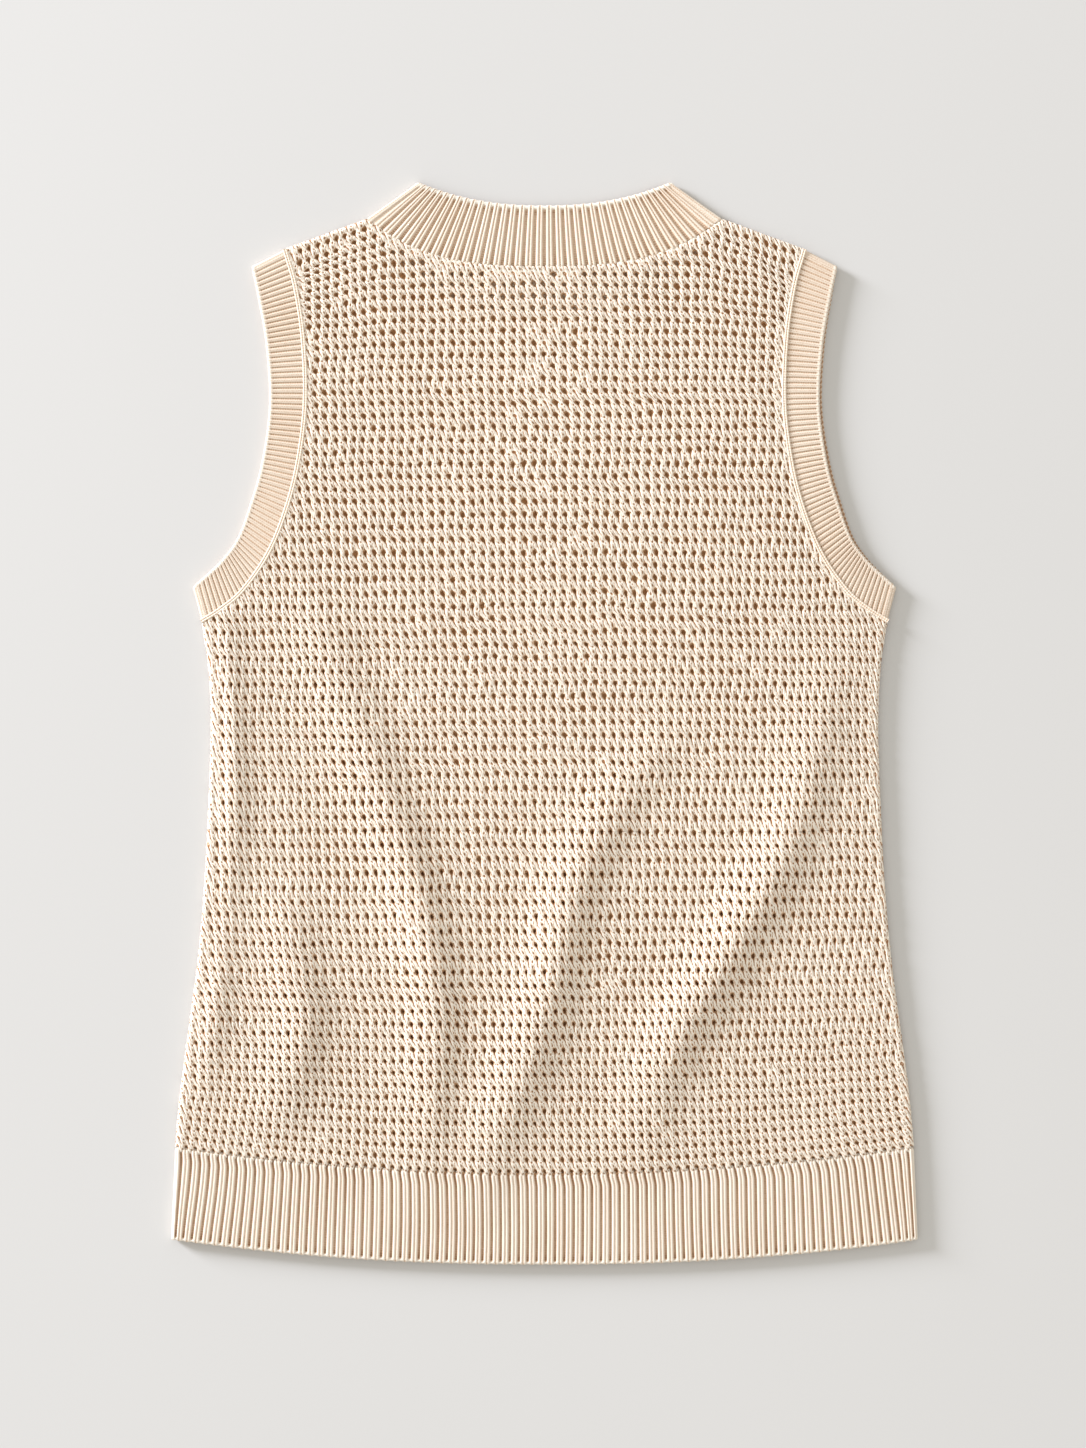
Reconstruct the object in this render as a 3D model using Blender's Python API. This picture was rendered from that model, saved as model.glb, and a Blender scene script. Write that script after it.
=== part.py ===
"""Sleeveless openwork knit top, laid flat face down with its back upwards.

The frame is in metres with +Z up and +Y from the hem towards the neck, and its origin lies on the
surface under the middle of the garment. The top is a flattened tube: the front layer lies on the
surface, the back layer lies on the front, and the cloth turns from one layer to the other at the
side seams, the shoulder seams and the folds of the bands.
"""

import math
from collections import namedtuple

import bmesh
import bpy
from mathutils import Vector

MM = 0.001

# Sizes in millimetres. Heights are measured from the lowest point of the hem.
BODY_LENGTH = 692.2
CLOTH = 2.2
SEAM_GAP = 0.3
TOP = 2 * CLOTH + SEAM_GAP
MID = TOP / 2
ROLL = MID
SLIT = SEAM_GAP / 2

HEM_HALF_WIDTH = 239.0
HEM_CORNER_RISE = 16.0
HEM_CURVE = 2.2
HEM_SEAM_CENTRE = 58.0
HEM_SEAM_CURVE = 2.0

NECK_SEAM_HALF_WIDTH = 114.6
NECK_EDGE_HALF_WIDTH = 81.0
NECK_SEAM_CORNER = 668.6
NECK_EDGE_CORNER = BODY_LENGTH
RIB_FAN = 0.45

# How finely the cloth is faceted.
TURN_STEPS = 3
NECK_COLUMNS = 12
SHOULDER_COLUMNS = 5
SIDE_ROWS = 12
HEM_ROWS = 3

# The front edge of the right armhole shows this far beyond the back edge.
FRONT_PEEK = 1.8
# Folds die out over this distance from a side seam.
FOLD_EASE = 14.0
WELD = 0.00001

Outline = namedtuple("Outline", "height half_width")
Station = namedtuple("Station", "seam_across seam_height edge_across edge_height")
Neckline = namedtuple("Neckline", "seam_centre seam_curve edge_centre edge_curve")
Crest = namedtuple("Crest", "height across rise spread")
Side = namedtuple("Side", "name colour facing neckline")

SIDE_SEAM = (
    Outline(75, 236.5),
    Outline(110, 233.3),
    Outline(147, 228.4),
    Outline(195, 222.0),
    Outline(243, 217.8),
    Outline(300, 214.9),
    Outline(345, 213.6),
    Outline(382, 215.2),
    Outline(410, 219.3),
)

# Ribs across an armhole band, from the underarm to the shoulder.
ARMHOLE = (
    Station(219.3, 410.0, 225.3, 433.0),
    Station(206.5, 418.0, 214.5, 442.5),
    Station(193.0, 429.3, 205.0, 452.0),
    Station(178.0, 450.0, 196.0, 465.0),
    Station(167.0, 474.0, 188.5, 485.5),
    Station(157.5, 507.0, 181.0, 512.0),
    Station(152.0, 548.0, 176.0, 549.0),
    Station(153.0, 590.0, 178.0, 587.0),
    Station(158.0, 625.0, 183.0, 617.0),
    Station(165.0, 650.0, 187.5, 638.5),
)

BACK_NECK = Neckline(637.4, 3.05, 677.0, 2.3)
FRONT_NECK = Neckline(607.0, 2.6, 647.0, 2.4)

# The largest folds of the back layer, each a ridge given from its upper end downwards.
FOLDS = {
    "left": (
        Crest(420, -139, 0.0, 15),
        Crest(385, -129, 2.0, 15),
        Crest(323, -110, 4.5, 14),
        Crest(246, -84, 6.5, 14),
        Crest(172, -70, 6.5, 13),
        Crest(111, -71, 4.5, 13),
        Crest(60, -76, 1.5, 14),
        Crest(20, -78, 0.0, 15),
    ),
    "middle": (
        Crest(352, 84, 0.0, 15),
        Crest(329, 67, 1.5, 15),
        Crest(291, 43, 4.0, 15),
        Crest(243, 20, 6.0, 14),
        Crest(175, 3, 7.0, 14),
        Crest(121, -14, 6.0, 14),
        Crest(70, -33, 3.0, 15),
        Crest(20, -42, 0.0, 16),
    ),
    "right": (
        Crest(388, 184, 0.0, 13),
        Crest(355, 177, 3.0, 13),
        Crest(291, 163, 5.5, 14),
        Crest(239, 140, 7.0, 14),
        Crest(188, 111, 7.5, 14),
        Crest(143, 84, 6.5, 14),
        Crest(98, 70, 3.0, 14),
        Crest(50, 64, 0.0, 15),
    ),
    "lower_left": (
        Crest(226, -162, 0.0, 13),
        Crest(194, -157, 3.5, 13),
        Crest(156, -151, 4.5, 13),
        Crest(114, -162, 3.0, 13),
        Crest(80, -170, 0.0, 13),
    ),
    "left_side": (
        Crest(430, -206, 0.0, 9),
        Crest(380, -203, 2.5, 9),
        Crest(300, -199, 3.2, 9),
        Crest(225, -203, 1.2, 9),
        Crest(160, -212, 2.6, 9),
        Crest(100, -218, 0.0, 9),
    ),
}

CREAM = (0.80, 0.67, 0.53, 1.0)
LIGHT_CREAM = (0.84, 0.72, 0.59, 1.0)
DEEP_CREAM = (0.70, 0.56, 0.42, 1.0)
KNIT_ROUGHNESS = 0.9

BACK = Side("back", CREAM, 1, BACK_NECK)
FRONT = Side("front", DEEP_CREAM, -1, FRONT_NECK)


def table_slope(rows, index, column):
    """Slope of one column of a table at one of its rows, from the rows on either side."""
    before = rows[max(index - 1, 0)]
    after = rows[min(index + 1, len(rows) - 1)]
    return (getattr(after, column) - getattr(before, column)) / (after.height - before.height)


def read_table(rows, height, column):
    """Value of one column at a height, on a smooth curve through the rows of a table."""
    ordered = sorted(rows)
    height = min(max(height, ordered[0].height), ordered[-1].height)
    index = 0
    while height > ordered[index + 1].height:
        index += 1
    low, high = ordered[index], ordered[index + 1]
    span = high.height - low.height
    t = (height - low.height) / span
    low_value, high_value = getattr(low, column), getattr(high, column)
    low_slope = table_slope(ordered, index, column) * span
    high_slope = table_slope(ordered, index + 1, column) * span
    return (
        low_value * (1 + 2 * t) * (1 - t) ** 2
        + low_slope * t * (1 - t) ** 2
        + high_value * t * t * (3 - 2 * t)
        + high_slope * t * t * (t - 1)
    )


def ease(value):
    """Smooth step from 0 to 1."""
    value = min(max(value, 0.0), 1.0)
    return value * value * (3 - 2 * value)


def fold_rise(across, height):
    """How far the folds lift the back layer at a point of the plan."""
    rise = 0.0
    for crests in FOLDS.values():
        if crests[-1].height < height < crests[0].height:
            middle = read_table(crests, height, "across")
            step = 1.0
            lean = (read_table(crests, height + step, "across") - middle) / step
            distance = (across - middle) / math.hypot(1, lean)
            spread = read_table(crests, height, "spread")
            lift = max(read_table(crests, height, "rise"), 0.0)
            rise += lift * math.exp(-0.5 * (distance / spread) ** 2)
    return rise


def turn_angles():
    """Angles of the facets in a quarter turn, from the flat to the outline."""
    return [math.radians(90 * step / TURN_STEPS) for step in range(TURN_STEPS + 1)]


def turn_inset(angle):
    """How far inside the outline a turned point of the outer face lies."""
    return ROLL * (1 - math.sin(angle))


def turn_height(inset):
    """Height of the outer face above the middle of the layers, at an inset from a turned edge."""
    left = min(max(ROLL - inset, 0.0), ROLL)
    return math.sqrt(ROLL * ROLL - left * left)


def hem_edge_height(share):
    """Height of the hem's lower edge at a share of its half width."""
    return HEM_CORNER_RISE * abs(share) ** HEM_CURVE


def hem_seam_height(share):
    """Height of the seam between hem rib and panel at a share of its half width."""
    rise = SIDE_SEAM[0].height - HEM_SEAM_CENTRE
    return HEM_SEAM_CENTRE + rise * abs(share) ** HEM_SEAM_CURVE


def neck_seam(share, neckline):
    """Plan point on the seam of the neck band, share -1 to 1 across the neck."""
    rise = (NECK_SEAM_CORNER - neckline.seam_centre) * abs(share) ** neckline.seam_curve
    return Vector((NECK_SEAM_HALF_WIDTH * share, neckline.seam_centre + rise))


def neck_edge(share, neckline):
    """Plan point on the free edge of the neck band, at the end of the rib from neck_seam(share)."""
    fanned = share * (1 + RIB_FAN * (1 - abs(share)))
    rise = (NECK_EDGE_CORNER - neckline.edge_centre) * abs(fanned) ** neckline.edge_curve
    return Vector((NECK_EDGE_HALF_WIDTH * fanned, neckline.edge_centre + rise))


def walk(points, distance):
    """Point at a distance along a chain of plan points."""
    for start, end in zip(points, points[1:]):
        length = (end - start).length
        if distance <= length:
            return start.lerp(end, distance / length)
        distance -= length
    return points[-1]


def shoulder_height(across):
    """Height of the shoulder seam at a distance from the middle of the back."""
    outer = ARMHOLE[-1]
    share = (outer.seam_across - abs(across)) / (outer.seam_across - NECK_SEAM_HALF_WIDTH)
    return outer.seam_height + (NECK_SEAM_CORNER - outer.seam_height) * share


def panel_shares():
    """Columns of a panel as shares of its half width, with one on each neck corner."""
    corner = NECK_SEAM_HALF_WIDTH / (ARMHOLE[-1].seam_across - ROLL)
    half = [corner * column / NECK_COLUMNS for column in range(NECK_COLUMNS + 1)]
    half += [
        corner + (1 - corner) * column / SHOULDER_COLUMNS
        for column in range(1, SHOULDER_COLUMNS + 1)
    ]
    return [-share for share in reversed(half[1:])] + half


def row_across(half_width):
    """Across positions of one row of a panel, turned columns at both ends included."""
    insets = [turn_inset(angle) for angle in turn_angles()[1:]]
    middle = [share * (half_width - ROLL) for share in panel_shares()]
    right = [half_width - inset for inset in insets]
    return [-across for across in reversed(right)] + middle + right


def neck_share(column):
    """Share of the neck seam for a column of a panel, beyond -1 to 1 where it is on a shoulder."""
    return (column - TURN_STEPS - SHOULDER_COLUMNS - NECK_COLUMNS) / NECK_COLUMNS


def top_line(neckline):
    """Plan points of a panel's upper border, one for each column."""
    points = []
    for column, across in enumerate(row_across(ARMHOLE[-1].seam_across)):
        share = neck_share(column)
        if abs(share) <= 1:
            points.append(neck_seam(share, neckline))
        else:
            points.append(Vector((across, shoulder_height(across))))
    return points


def armhole_seam():
    return [Vector((station.seam_across, station.seam_height)) for station in ARMHOLE]


def armhole_edge():
    return [Vector((station.edge_across, station.edge_height)) for station in ARMHOLE]


def side_rows():
    """Rows of a panel from the hem seam to the underarm: plan points and insets from the outline."""
    rows = []
    lower, upper = SIDE_SEAM[0].height, SIDE_SEAM[-1].height
    for row in range(SIDE_ROWS + 1):
        share = row / SIDE_ROWS
        side_height = lower + (upper - lower) * share
        half_width = read_table(SIDE_SEAM, side_height, "half_width")
        points = []
        for across in row_across(half_width):
            hem = hem_seam_height(across / half_width)
            points.append(Vector((across, hem + (upper - hem) * share)))
        rows.append((points, [half_width - abs(point.x) for point in points]))
    return rows


def armhole_rows(neckline):
    """Rows of a panel above the underarm: plan points and insets from the shoulder line."""
    underarm = SIDE_SEAM[-1].height
    top = top_line(neckline)
    seam = armhole_seam()
    rows = []
    for side in seam[1:-1]:
        share = (side.y - underarm) / (top[0].y - underarm)
        points = [
            Vector((across, underarm + (end.y - underarm) * share))
            for across, end in zip(row_across(side.x), top)
        ]
        rows.append((points, [ROLL] * len(points)))
    for angle in turn_angles():
        inset = turn_inset(angle)
        side = walk(seam[::-1], inset)
        points = [Vector((across, end.y - inset)) for across, end in zip(row_across(side.x), top)]
        insets = [ROLL if abs(neck_share(column)) < 1 else inset for column in range(len(points))]
        rows.append((points, insets))
    return rows


def armhole_rib(point):
    """Unit direction of the armhole band's rib that starts nearest to a plan point."""
    nearest = min(ARMHOLE, key=lambda station: math.dist(station[:2], point))
    rib = Vector(nearest[2:]) - Vector(nearest[:2])
    return rib.normalized()


def neck_rib(share, neckline):
    """Unit direction of the neck band's rib at a share of the seam."""
    return (neck_edge(share, neckline) - neck_seam(share, neckline)).normalized()


def pull_from_seams(rows, neckline):
    """Moves a panel's sewn borders in by half the seam gap, along the ribs of the bands."""
    half = SEAM_GAP / 2
    for point in rows[0][0]:
        point.y += half
    for points, _ in rows[SIDE_ROWS:]:
        rib = armhole_rib(points[-1])
        points[-1] -= rib * half
        points[0] -= Vector((-rib.x, rib.y)) * half
    for column, point in enumerate(rows[-1][0]):
        share = neck_share(column)
        if abs(share) <= 1:
            point -= neck_rib(share, neckline) * half


def solid_point(plan, height):
    """A point of the frame from its plan point and its height over the surface, in millimetres."""
    return Vector((plan.x, plan.y - BODY_LENGTH / 2, height)) * MM


def layer_points(rows, facing):
    """Outer and inner faces of a layer from its plan rows, with the folds on the back layer."""
    outer, inner = [], []
    for points, insets in rows:
        outer_row, inner_row = [], []
        for point, inset in zip(points, insets):
            rise = fold_rise(point.x, point.y) if facing > 0 else 0.0
            rise *= ease((outline_inset(point) - ROLL) / FOLD_EASE)
            level = max(turn_height(inset), SLIT)
            outer_row.append(solid_point(point, MID + facing * level + rise))
            inner_row.append(solid_point(point, MID + facing * SLIT + rise))
        outer.append(outer_row)
        inner.append(inner_row)
    return outer, inner


def outline_inset(point):
    """Distance of a plan point from the side of the body at its own height."""
    return read_table(SIDE_SEAM, point.y, "half_width") - abs(point.x)


def closed_wall(name, outer, inner, colour, ring=False):
    """An object whose wall lies between two grids of points, joined round their borders.

    The columns of a ring go all the way round, so its last column meets its first.
    """
    builder = bmesh.new()
    grids = [[[builder.verts.new(point) for point in row] for row in grid] for grid in (outer, inner)]
    last_row = len(outer) - 1
    columns = len(outer[0])
    steps = [(column, (column + 1) % columns) for column in range(columns if ring else columns - 1)]
    for grid in grids:
        for row in range(last_row):
            for here, there in steps:
                low, high = grid[row], grid[row + 1]
                builder.faces.new((low[here], low[there], high[there], high[here]))
    border = [((row, here), (row, there)) for row in (0, last_row) for here, there in steps]
    if not ring:
        border += [((row, end), (row + 1, end)) for end in (0, columns - 1) for row in range(last_row)]
    for (row, column), (next_row, next_column) in border:
        builder.faces.new((
            grids[0][row][column],
            grids[0][next_row][next_column],
            grids[1][next_row][next_column],
            grids[1][row][column],
        ))
    bmesh.ops.remove_doubles(builder, verts=builder.verts, dist=WELD)
    bmesh.ops.recalc_face_normals(builder, faces=builder.faces)
    return finish_object(name, builder, colour)


def finish_object(name, builder, colour):
    """Makes the object of a finished bmesh, with its own material."""
    mesh = bpy.data.meshes.new(name)
    builder.to_mesh(mesh)
    builder.free()
    mesh.shade_smooth()
    mesh.set_sharp_from_angle(angle=math.radians(50))
    material = bpy.data.materials.new(name)
    material.use_nodes = True
    shader = material.node_tree.nodes["Principled BSDF"]
    shader.inputs["Base Color"].default_value = colour
    shader.inputs["Roughness"].default_value = KNIT_ROUGHNESS
    shader.inputs["Metallic"].default_value = 0.0
    mesh.materials.append(material)
    return bpy.data.objects.new(name, mesh)


def body_panel(side):
    rows = side_rows() + armhole_rows(side.neckline)
    pull_from_seams(rows, side.neckline)
    outer, inner = layer_points(rows, side.facing)
    return closed_wall(side.name + "_panel", outer, inner, side.colour)


def hem_rib(side):
    """The rib below a panel, from its lower edge up to the seam."""
    rows = []
    seam_half_width = SIDE_SEAM[0].half_width
    for row in range(HEM_ROWS + 1):
        share = row / HEM_ROWS
        half_width = HEM_HALF_WIDTH + (seam_half_width - HEM_HALF_WIDTH) * share
        points = []
        for across in row_across(half_width):
            edge = hem_edge_height(across / half_width)
            seam = hem_seam_height(across / half_width) - SEAM_GAP / 2
            points.append(Vector((across, edge + (seam - edge) * share)))
        rows.append((points, [half_width - abs(point.x) for point in points]))
    outer, inner = layer_points(rows, side.facing)
    return closed_wall("hem_rib_" + side.name, outer, inner, side.colour)


def band_stations(seam, edge):
    """Ribs of one layer of a folded band, from fold to fold: seam point, edge point and turn angle."""
    stations = [
        (walk(seam, turn_inset(angle)), walk(edge, turn_inset(angle)), angle)
        for angle in reversed(turn_angles())
    ]
    stations += [(seam_point, edge_point, 0.0) for seam_point, edge_point in zip(seam[1:-1], edge[1:-1])]
    stations += [
        (walk(seam[::-1], turn_inset(angle)), walk(edge[::-1], turn_inset(angle)), angle)
        for angle in turn_angles()
    ]
    return stations


def band_layer(seam, edge, facing):
    """Outer and inner points of one layer of a folded band, a pair for each rib."""
    stations = band_stations(seam, edge)
    last = len(stations) - 1
    outer, inner = [], []
    for index, (seam_point, edge_point, angle) in enumerate(stations):
        seam_point = seam_point + (edge_point - seam_point).normalized() * SEAM_GAP / 2
        along = stations[min(index + 1, last)][0] - stations[max(index - 1, 0)][0]
        from_fold = along.normalized() * (1 if index < last / 2 else -1)
        shift = from_fold * (ROLL - SLIT) * math.sin(angle)
        level = MID + facing * ROLL * math.cos(angle)
        under = MID + facing * SLIT * math.cos(angle)
        outer.append([solid_point(plan, level) for plan in (seam_point, edge_point)])
        inner.append([solid_point(plan + shift, under) for plan in (seam_point, edge_point)])
    return outer, inner


def folded_band(name, back, front, colour):
    """A band all round an opening, its back half over its front half, each given as seam and edge."""
    back_outer, back_inner = band_layer(*back, 1)
    front_outer, front_inner = band_layer(*front, -1)
    outer = back_outer + front_outer[-2:0:-1]
    inner = back_inner + front_inner[-2:0:-1]
    return closed_wall(name, list(zip(*outer)), list(zip(*inner)), colour, ring=True)


def neck_band():
    shares = [column / NECK_COLUMNS for column in range(-NECK_COLUMNS, NECK_COLUMNS + 1)]
    halves = [
        ([neck_seam(share, line) for share in shares], [neck_edge(share, line) for share in shares])
        for line in (BACK_NECK, FRONT_NECK)
    ]
    return folded_band("neck_band", halves[0], halves[1], LIGHT_CREAM)


def armhole_band(name, mirror, peek):
    """The band of one armhole. Mirror is 1 for the +X side and -1 for the -X side."""
    flip = Vector((mirror, 1))
    seam = [point * flip for point in armhole_seam()]
    edge = [point * flip for point in armhole_edge()]
    last = len(edge) - 1
    front_edge = [
        point + Vector((mirror * peek * math.sin(math.pi * index / last), 0))
        for index, point in enumerate(edge)
    ]
    return folded_band(name, (seam, edge), (seam, front_edge), LIGHT_CREAM)


def clear_scene():
    for item in list(bpy.data.objects):
        bpy.data.objects.remove(item, do_unlink=True)


def build_top():
    """Makes every piece in a collection of its own."""
    clear_scene()
    collection = bpy.data.collections.new("sleeveless_knit_top")
    bpy.context.scene.collection.children.link(collection)
    pieces = [
        body_panel(BACK),
        body_panel(FRONT),
        hem_rib(BACK),
        hem_rib(FRONT),
        neck_band(),
        armhole_band("armhole_band_left", -1, 0.0),
        armhole_band("armhole_band_right", 1, FRONT_PEEK),
    ]
    for piece in pieces:
        collection.objects.link(piece)


build_top()
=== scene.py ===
"""Looks of a sleeveless openwork knit top, laid flat face down with its back upwards.

The openwork is a layer of yarn whose leaning wales part round the holes, over a perforated ground
whose brown is painted shade, and the ribs are corrugated walls. The yarn's colour darkens with painted
shade in its hollows, furrows and hole rims. The script works in millimetres from the middle of the
garment and from the hem's lowest point, and turns them into metres of the frame when a mesh is made.
"""

import math
from collections import namedtuple

import bpy
import numpy as np
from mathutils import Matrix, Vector


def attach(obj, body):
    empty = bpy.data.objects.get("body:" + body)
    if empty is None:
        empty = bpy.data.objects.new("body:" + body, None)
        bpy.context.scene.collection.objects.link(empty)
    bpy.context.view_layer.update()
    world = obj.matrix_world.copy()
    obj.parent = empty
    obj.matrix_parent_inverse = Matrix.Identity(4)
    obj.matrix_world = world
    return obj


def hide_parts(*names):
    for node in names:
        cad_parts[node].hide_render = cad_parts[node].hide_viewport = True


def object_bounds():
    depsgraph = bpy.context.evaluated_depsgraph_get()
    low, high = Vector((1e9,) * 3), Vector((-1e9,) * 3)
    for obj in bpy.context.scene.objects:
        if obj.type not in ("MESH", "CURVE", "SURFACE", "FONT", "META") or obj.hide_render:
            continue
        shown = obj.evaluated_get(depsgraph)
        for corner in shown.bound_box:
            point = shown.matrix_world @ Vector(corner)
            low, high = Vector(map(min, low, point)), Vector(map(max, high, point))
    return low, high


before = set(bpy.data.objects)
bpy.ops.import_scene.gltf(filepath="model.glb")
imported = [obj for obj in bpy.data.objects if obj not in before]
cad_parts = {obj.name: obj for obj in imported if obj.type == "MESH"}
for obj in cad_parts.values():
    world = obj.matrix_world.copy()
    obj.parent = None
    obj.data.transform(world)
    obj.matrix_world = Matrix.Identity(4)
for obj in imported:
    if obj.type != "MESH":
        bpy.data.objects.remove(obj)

CAD_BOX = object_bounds()
LOW, HIGH = Vector(CAD_BOX[0]), Vector(CAD_BOX[1])
MM = 0.001

# Sizes of the cloth, the same as the frame's, in millimetres.
BODY_LENGTH = (HIGH.y - LOW.y) / MM
CLOTH = 2.2
SEAM_GAP = 0.3
TOP = 2 * CLOTH + SEAM_GAP
MID = TOP / 2
ROLL = MID
# Where the folds come in from the sides, and how far the front's right armhole band shows.
FOLD_EASE = 14
FRONT_PEEK = 1.8

HEM_HALF = 239
HEM_CORNER_RISE = 16
HEM_CURVE = 2.2
HEM_SEAM_CENTRE = 58
HEM_SEAM_CURVE = 2

NECK_SEAM_HALF = 114.6
NECK_EDGE_HALF = 81
NECK_SEAM_CORNER = 668.6
RIB_FAN = 0.22

Outline = namedtuple("Outline", "height half_width")
Station = namedtuple("Station", "seam_across seam_height edge_across edge_height")
Neckline = namedtuple("Neckline", "seam_centre seam_curve edge_centre edge_curve")
Crest = namedtuple("Crest", "height across rise spread")
Pitch = namedtuple("Pitch", "height row column crowding")
Rim = namedtuple("Rim", "column row across up")
Wale = namedtuple("Wale", "relief shade")
Furrow = namedtuple("Furrow", "phase relief shade")
Chain = namedtuple("Chain", "half_width height stitch lean")
Mark = namedtuple("Mark", "across up half_width half_height lean strength")
# Soft random waves, a smooth step, and factors for a number that seems random.
Waves = namedtuple("Waves", "seed size scale")
Step = namedtuple("Step", "size start span")
Mixer = namedtuple("Mixer", "column row size")


def rows(kind, *table):
    return tuple(kind(*row) for row in table)


SIDE_SEAM = rows(
    Outline,
    (75, 236.5), (110, 233.3), (147, 228.4), (195, 222), (243, 217.8), (300, 214.9), (345, 213.6),
    (382, 215.2), (410, 219.3),
)
UNDERARM = SIDE_SEAM[-1].height
HEM_TOP = SIDE_SEAM[0].height
HEM_TOP_HALF = SIDE_SEAM[0].half_width

# Ribs across an armhole band, from the underarm to the shoulder.
ARMHOLE = rows(
    Station,
    (219.3, 410, 225.3, 433), (206.5, 418, 214.5, 442.5), (193, 429.3, 205, 452),
    (178, 450, 196, 465), (167, 474, 188.5, 485.5), (157.5, 507, 181, 512),
    (152, 548, 176, 549), (153, 590, 178, 587), (158, 625, 183, 617),
    (165, 650, 187.5, 638.5),
)

BACK_NECK = Neckline(637.4, 3.05, 677, 2.3)
FRONT_NECK = Neckline(607, 2.6, 647, 2.4)

# The soft folds of the back, each a ridge from its upper end downwards.
CRESTS = (
    (
        (440, -156, 0, 15), (400, -140, 2.8, 15), (323, -111, 5, 14), (246, -84, 6.5, 14),
        (172, -70, 6.5, 13), (111, -71, 4.5, 13), (60, -76, 1.5, 14), (20, -78, 0, 15),
    ),
    (
        (352, 84, 0, 15), (329, 67, 1.5, 15), (291, 43, 4, 15), (243, 20, 6, 14),
        (175, 3, 7, 14), (121, -14, 6, 14), (70, -33, 3, 15), (20, -42, 0, 16),
    ),
    (
        (400, 184, 0, 13), (355, 177, 2.4, 13), (291, 163, 5, 14), (239, 140, 7, 14),
        (188, 111, 7.5, 14), (143, 84, 6.5, 14), (98, 70, 3, 14), (50, 64, 0, 15),
    ),
    (
        (250, -170, 0, 13), (200, -160, 4.2, 13), (156, -154, 5.4, 13), (114, -162, 3.6, 13),
        (76, -170, 0, 13),
    ),
    (
        (430, -206, 0, 9), (380, -203, 2.5, 9), (300, -199, 3.2, 9), (225, -203, 1.2, 9),
        (160, -212, 2.6, 9), (100, -218, 0, 9),
    ),
)
FOLDS = tuple(rows(Crest, *crests) for crests in CRESTS)

# Share of the folds' rise that the yarn has, and how steep their right and left sides are.
FOLD_LIFT = 0.66
STEEP_SIDE = 1.35
GENTLE_SIDE = 0.98

# Spacing of the openwork's rows and columns, and how much closer its columns lie at the sides.
OPENWORK = rows(
    Pitch,
    (50, 7.3, 5.75, 0), (110, 7.8, 5.6, 0), (160, 8.5, 5.7, 0.04), (220, 9, 6, 0.12),
    (290, 8.9, 6.15, 0.18), (350, 8.2, 6.35, 0.26), (440, 8.4, 6.45, 0.28), (520, 8, 6.6, 0.3),
    (600, 7.4, 6.6, 0.3), (700, 6.8, 6.6, 0.3),
)

# How far past the panel the rows are counted, and how finely.
ROW_MARGIN = 12
ROW_STEP = 0.5
# Points of the openwork's grid to a repeat, and how far the grid leans in each row.
STEPS = 6
LEAN = 0.5
# Points of the grid round a hole, and their places in repeats from its middle.
RIM = rows(
    Rim,
    (-1, 1, -0.2, 0.14), (0, 1, -0.02, 0.22), (1, 1, 0.18, 0.15), (1, 0, 0.24, 0.01),
    (1, -1, 0.19, -0.15), (0, -1, 0.11, -0.29), (-1, -1, -0.06, -0.15), (-1, 0, -0.2, 0),
)
# The same for the ground, counted from a repeat's corner.
GROUND_STEPS = 3
GROUND_RIM = rows(
    Rim,
    (1, 1, 0.04, -0.24), (2, 1, 0.21, -0.04), (2, 2, 0.04, 0.18), (1, 2, -0.18, 0.03),
)
# The yarn's relief and painted shade by its distance from a line of holes, in points of the grid,
# and at a hole; the painted shade is darker where the yarn lies lower, and darkest at a hole's rim.
WALES = rows(Wale, (-0.3, 0.62), (0.17, 0.9), (0.38, 1), (-0.2, 0.78))
RIM_WALE = Wale(-0.6, 0.16)
# How much lower it is above a hole, and higher between the rows.
ROW_DIP = 0.2
ROW_RISE = 0.1
# What cancels the painted shade mark of a hole in the plain edges.
PLAIN_SHADE = 1
# Spreads of the random shifts round a hole, in repeats, and of the relief.
YARN_SEED = 11
RIM_JITTER = 0.035
RELIEF_JITTER = 0.07

# Number of soft waves, what their sum is divided by, and the least of their lengths.
WAVE_COUNT = 9
WAVE_SUM = 4
LEAST_LENGTH = 0.6
# How the lines of holes and the single stitches stray from their places.
COLUMN_SWAY = Waves(3, 1.1, 34)
ROW_SWAY = Waves(4, 0.9, 3.5)
STITCH_SWAY = Waves(6, 0.7, 4)
ROW_LIFT = Waves(5, 1, 40)
STITCH_LIFT = Waves(7, 0.7, 4)
# Reach over the hem seam in which that comes in, and in which the rows follow the seam.
STRAY_RISE = 60
BEND_RISE = 80
# How far aside they follow it, in half widths.
BEND_REACH = 1.1
# How the rows bend down outwards below the shoulders.
SHOULDER_BEND = Step(0.34, 96, 38)
# Share of the holes that are closed, and how many more are in patches.
CLOSED_SHARE = 0.005
CLOSED_PATCHES = Step(0.14, 0.55, 0.5)
PATCH_WAVES = Waves(17, 1, 22)
CLOSING = Mixer(12.9898, 78.233, 43758.5453)
# How wide the holes stand open at the bottom, and how that changes.
BASE_OPENNESS = 0.88
OPEN_UPWARDS = Step(0.16, 300, 200)
SHUT_AT_SIDES = Step(0.16, 130, 90)
OPEN_AT_SHOULDERS = Step(0.16, 560, 70)
SHOULDERS_START = Step(1, 40, 60)
OPEN_WAVES = Waves(8, 0.08, 16)
OPEN_SPREAD = 0.25
OPENING = Mixer(39.346, 11.135, 24634.6345)

# How far the holes stay from the seams.
PLAIN_SIDE = 5
PLAIN_NECK = 4.2
PLAIN_SEAM = 2.4
# Height of the lowest holes over the hem seam, and up to where none is closed.
FIRST_HOLES = 1.6
FIRST_ROW = 4
# How far the openwork laps over the seams, and where that comes in at the underarm.
LAP = 0.9
LAP_RISE = 8
# How much further it reaches over the ribs between the holes, and less at them.
HEM_TONGUE = 4.3
HEM_NOTCH = 2.4
NECK_TONGUE = 0.8
NECK_CORNER = 7
# How far the yarn comes down there.
OVERLAP_SINK = 0.9
OVERLAP_REACH = 2.8
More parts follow.
